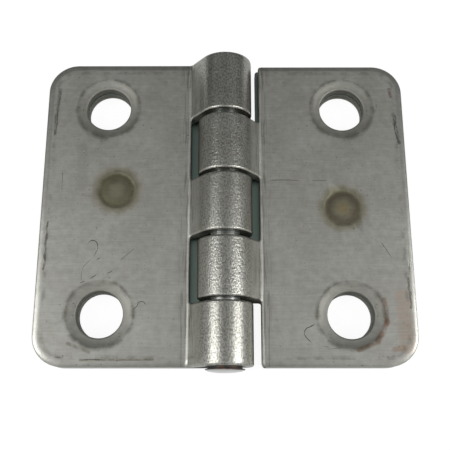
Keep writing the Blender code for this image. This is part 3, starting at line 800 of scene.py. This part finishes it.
    # Scratches and pits hold dirt
    open_field = add_node(tree, TIMES,
                          (add_node(tree, SOFT_STEP, (run, *FRONT_FLAT_END, 1.0, 0.0)),
                           add_node(tree, SOFT_STEP, (from_weld, weld_size / 2, weld_size / 2 + 0.4))))
    for mask in (seat, border):
        open_field = add_node(tree, TIMES, (open_field, add_node(tree, MINUS, (1.0, mask))))
    dirty = add_node(tree, TIMES,
                     (open_field, add_node(tree, SOFT_STEP, (height_in_sheet, -0.03, -0.004, 1.0, 0.0))))
    base = add_node(tree, COVER, {FACTOR: dirty, BELOW: base, ABOVE: colour("#787772")})

    # The punched walls are rough from tearing and painted darker, partly for that finish and partly as
    # painted shade in the holes and slots, the tumbled outer ones less so
    thickness = SHEET * PER_METRE
    torn_and_shaded = add_node(tree, SOFT_STEP, (height_in_sheet, -0.7, -ROLL_DEPTH * PER_METRE, 1.0, 0.0))
    torn_and_shaded = add_node(tree, TIMES, (torn_and_shaded, add_node(tree, SOFT_STEP, (from_edge, 0.0, 0.4, 0.35, 1.0))))
    inner = add_node(tree, SOFT_STEP, (height_in_sheet, -thickness + 0.02, -thickness + 0.2, 1.0, 0.0))
    wall = add_node(tree, MINUS, (torn_and_shaded, inner), use_clamp=True)
    base = add_node(tree, TINT, {FACTOR: wall, BELOW: base, ABOVE: colour("#dcdcd8")})
    # The inner side, seen only deep in the slits of the slots, is painted over with a dark greenish grey as
    # painted shade
    base = add_node(tree, COVER, {FACTOR: inner, BELOW: base, ABOVE: colour("#7a8a83")})
    tree.links.new(base.outputs[2], shader.inputs["Base Color"])
    shader.inputs["Metallic"].default_value = 1.0

    finish = add_node(tree, SOFT_STEP, (worked, 0.0, 1.0, FLAT_FINISH, WORKED_FINISH))
    for mask, duller in ((smudges, 0.06), (wall, 0.2), (seat, 0.08), (inner, -0.16)):
        finish = add_node(tree, PLUS, (finish, add_node(tree, TIMES, (mask, duller))))
    tree.links.new(finish.outputs[0], shader.inputs["Roughness"])
    return metal


def drawn_bar():
    """Bright drawn stainless bar, smooth along its length, so it takes sharp highlights, with painted shadow
    in a band round the riveted end, where the head meets the knuckle."""
    metal = bpy.data.materials.new("drawn_stainless_shadowed_at_head")
    metal.use_nodes = True
    tree = metal.node_tree
    shader = tree.nodes["Principled BSDF"]
    place = add_node(tree, "ShaderNodeTexCoord").outputs["Object"]
    place = add_node(tree, "ShaderNodeVectorMath", {0: place, "Scale": float(PER_METRE)},
                     operation="SCALE")
    _, along, _ = add_node(tree, "ShaderNodeSeparateXYZ", {"Vector": place}).outputs
    past_end = add_node(tree, MINUS, ((AXIS.y - LEAF_HEIGHT / 2) * PER_METRE, along))
    uneven, patchy = (add_node(tree, "ShaderNodeTexNoise", {"Vector": place, "Scale": 1 / size})
                      for size in (1.5, 2.2))
    wobble = add_node(tree, TIMES, (add_node(tree, MINUS, (uneven, 0.5)), 0.3))
    past_end = add_node(tree, PLUS, (past_end, wobble))
    # Painted shadow between the knuckle's end and the riveted head, patchy grey to brown
    head_shadow = add_node(tree, TIMES,
                      (add_node(tree, SOFT_STEP, (past_end, -0.3, 0.0)),
                       add_node(tree, SOFT_STEP, (past_end, 0.55, 0.72, 1.0, 0.0))))
    shadow_tone = add_node(tree, "ShaderNodeValToRGB", (patchy,), stops=[(0.45, "#4a4a48"), (0.6, "#6b5548")])
    base = add_node(tree, COVER, {FACTOR: head_shadow, BELOW: colour("#b8bab8"), ABOVE: shadow_tone})
    tree.links.new(base.outputs[2], shader.inputs["Base Color"])
    finish = add_node(tree, SOFT_STEP, (head_shadow, 0.0, 1.0, BAR_FINISH, SHADOW_BAND_FINISH))
    tree.links.new(finish.outputs[0], shader.inputs["Roughness"])
    shader.inputs["Metallic"].default_value = 1.0
    return metal


def make_pin(metal):
    """The pin, its near end riveted over into a low dome."""
    half, radius = LEAF_HEIGHT / 2, PIN_DIAMETER / 2
    rim, dome = HEAD_DIAMETER / 2, HEAD_PROUD - HEAD_RIM_PROUD
    profile = []
    for i in range(DISH_STEPS + 1):
        angle = math.pi / 2 * i / DISH_STEPS
        profile.append((rim * math.sin(angle), -half - HEAD_RIM_PROUD - dome * math.cos(angle)))
    profile += [(radius, -half - HEAD_NECK_PROUD), (radius, half - 2 * PIN_TOP_RECESS),
                (radius - PIN_TOP_RECESS, half - PIN_TOP_RECESS), (0, half - PIN_TOP_RECESS)]
    form = bmesh.new()
    verts = [form.verts.new((r, y, 0)) for r, y in profile]
    edges = [form.edges.new(pair) for pair in zip(verts, verts[1:])]
    bmesh.ops.spin(form, geom=verts + edges, cent=(0, 0, 0), axis=(0, 1, 0), angle=math.tau,
                   steps=PIN_STEPS, use_merge=True)
    bmesh.ops.remove_doubles(form, verts=form.verts, dist=MERGE)
    bmesh.ops.recalc_face_normals(form, faces=form.faces)
    bmesh.ops.translate(form, verts=form.verts, vec=AXIS)
    mesh = bpy.data.meshes.new("riveted_pin")
    form.to_mesh(mesh)
    form.free()
    mesh.materials.append(metal)
    pin = smooth_piece("riveted_pin", mesh)
    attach(pin, "left_leaf_and_pin")
    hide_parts("hinge_pin")
    return pin


# The studio

FLOOR_REACH = 3.0  # from its middle to each side, in metres
FLOOR_GLOW = 0.92  # what the camera sees of it is nearly white, and the rest is lit, for the shadow


def make_floor():
    """A pale floor that shows as white to the camera, with the hinge's soft shadow."""
    mesh = bpy.data.meshes.new("studio_floor")
    form = bmesh.new()
    bmesh.ops.create_grid(form, x_segments=1, y_segments=1, size=FLOOR_REACH)
    form.to_mesh(mesh)
    form.free()
    floor = add_object("studio_floor", mesh)
    paint = bpy.data.materials.new("white_backdrop_paint")
    paint.use_nodes = True
    tree = paint.node_tree
    tree.nodes.clear()
    rays = add_node(tree, "ShaderNodeLightPath").outputs
    seen = add_node(tree, GREATER, (rays["Is Camera Ray"], rays["Is Transmission Ray"]))
    lit = add_node(tree, "ShaderNodeBsdfDiffuse", {"Color": colour("#e8e8e8")})
    part = add_node(tree, "ShaderNodeBsdfDiffuse", {"Color": colour("#616161")})
    glow = add_node(tree, "ShaderNodeEmission", {"Color": colour("#ffffff"), "Strength": FLOOR_GLOW})
    shown = add_node(tree, "ShaderNodeAddShader", {0: part.outputs[0], 1: glow.outputs[0]})
    surface = add_node(tree, "ShaderNodeMixShader", {0: seen, 1: lit.outputs[0], 2: shown.outputs[0]})
    add_node(tree, "ShaderNodeOutputMaterial", {"Surface": surface.outputs[0]})
    mesh.materials.append(paint)
    return floor


def make_room():
    """Soft light of a pale room, brighter overhead, behind a white backdrop."""
    world = bpy.data.worlds.new("studio_room")
    bpy.context.scene.world = world
    world.use_nodes = True
    tree = world.node_tree
    tree.nodes.clear()
    way = add_node(tree, "ShaderNodeTexCoord").outputs["Generated"]
    way = add_node(tree, "ShaderNodeSeparateXYZ", {"Vector": way}).outputs
    sideways = add_node(tree, ABSOLUTE, (way["X"],))
    level = add_node(tree, SOFT_STEP, (way["Y"], -0.05, 0.5, 0.49, 0.24))
    for direction, *change in ((way["Y"], -0.5, -0.05, 0.55, 1.0), (way["X"], -0.05, 0.25, 1.0, 1.14),
                               (sideways, 0.50, 0.90, 1.0, 0.42)):
        level = add_node(tree, TIMES, (level, add_node(tree, SOFT_STEP, (direction, *change))))
    side_glow = add_node(tree, SOFT_STEP, (sideways, 0.06, 0.40, 0.0, 0.80))
    side_glow = add_node(tree, TIMES,
                         (side_glow, add_node(tree, SOFT_STEP, (way["Y"], 0.0, 0.25, 1.0, 0.0))))
    level = add_node(tree, PLUS, (level, side_glow))
    rays = add_node(tree, "ShaderNodeLightPath").outputs
    room = add_node(tree, "ShaderNodeBackground", {"Color": colour("#ffffff"), "Strength": level})
    backdrop = add_node(tree, "ShaderNodeBackground", {"Color": colour("#ffffff"), "Strength": 1.0})
    surface = add_node(tree, "ShaderNodeMixShader",
                       {0: rays["Is Camera Ray"], 1: room.outputs[0], 2: backdrop.outputs[0]})
    add_node(tree, "ShaderNodeOutputWorld", {"Surface": surface.outputs[0]})


def make_softbox(name, place, aim, width, length, power):
    """A soft lamp that faces a point."""
    lamp = bpy.data.lights.new(name, "AREA")
    lamp.shape = "RECTANGLE"
    lamp.size, lamp.size_y = width, length
    lamp.energy = power
    box = add_object(name, lamp)
    box.location = place
    box.rotation_euler = (Vector(aim) - Vector(place)).to_track_quat("-Z", "Y").to_euler()
    return box


def make_camera():
    """The camera where the photograph was taken from: above the leaves, a little below the near end."""
    data = bpy.data.cameras.new("camera")
    data.sensor_width = 36.0
    data.lens = 55.1
    data.clip_start, data.clip_end = 0.01, 20
    camera = add_object("camera", data)
    place, aim = Vector((0.00026, -0.03746, 0.12975)), Vector((-0.00002, -0.00299, 0.00465))
    forward = (aim - place).normalized()
    right = forward.cross(Vector((0, 1, 0))).normalized()
    up = right.cross(forward)
    turn = Matrix((right, up, -forward)).transposed()
    camera.matrix_world = Matrix.Translation(place) @ turn.to_4x4()
    bpy.context.scene.camera = camera


def main():
    """Builds the hinge and the studio."""
    left_metal = stainless_sheet("tumbled_stainless_with_olive_weld", LEFT_WELD, [
        (0.0, "#cacab4"), (0.14, "#c2c1aa"), (0.26, "#aba994"), (0.36, "#aaa890"), (0.44, "#a09d84"),
        (0.52, "#c0bda8"), (0.60, "#e1ddcf"), (0.70, "#f6f4ef"), (0.80, "#ffffff")], LEFT_STAINS)
    right_metal = stainless_sheet("tumbled_stainless_with_brown_weld", RIGHT_WELD, [
        (0.0, "#d2c09c"), (0.10, "#cdbf9f"), (0.18, "#c6bfa6"), (0.26, "#b0ab98"), (0.36, "#9e9485"),
        (0.44, "#a39b87"), (0.52, "#ccc8b2"), (0.60, "#e1decf"), (0.70, "#f6f5f2"), (0.80, "#ffffff")],
        RIGHT_STAINS)
    pin_metal = drawn_bar()
    trees, path = (fold_tree(), scratch_tree()), path_object()
    make_leaf("leaf_with_outer_knuckles", "left_leaf", "left_leaf_and_pin", -1, left_outline, LEFT_WELD,
              (LEFT_SCRATCHES, LEFT_PITS), 0.0, trees, path, left_metal)
    make_leaf("leaf_with_inner_knuckles", "right_leaf", "right_leaf_body", 1, right_outline, RIGHT_WELD,
              (RIGHT_SCRATCHES, RIGHT_PITS), RIGHT_LEAF_DROP, trees, path, right_metal)
    remove(path)
    make_pin(pin_metal)
    make_floor()
    make_room()
    make_softbox("softbox_left", (-0.35, -0.03, 0.36), (0, 0, 0), width=0.13, length=0.26, power=0.75)
    make_softbox("softbox_right", (0.40, -0.03, 0.30), (0, 0, 0), width=0.15, length=0.26, power=0.85)
    make_camera()
    bpy.context.scene.view_settings.view_transform = "Standard"


main()
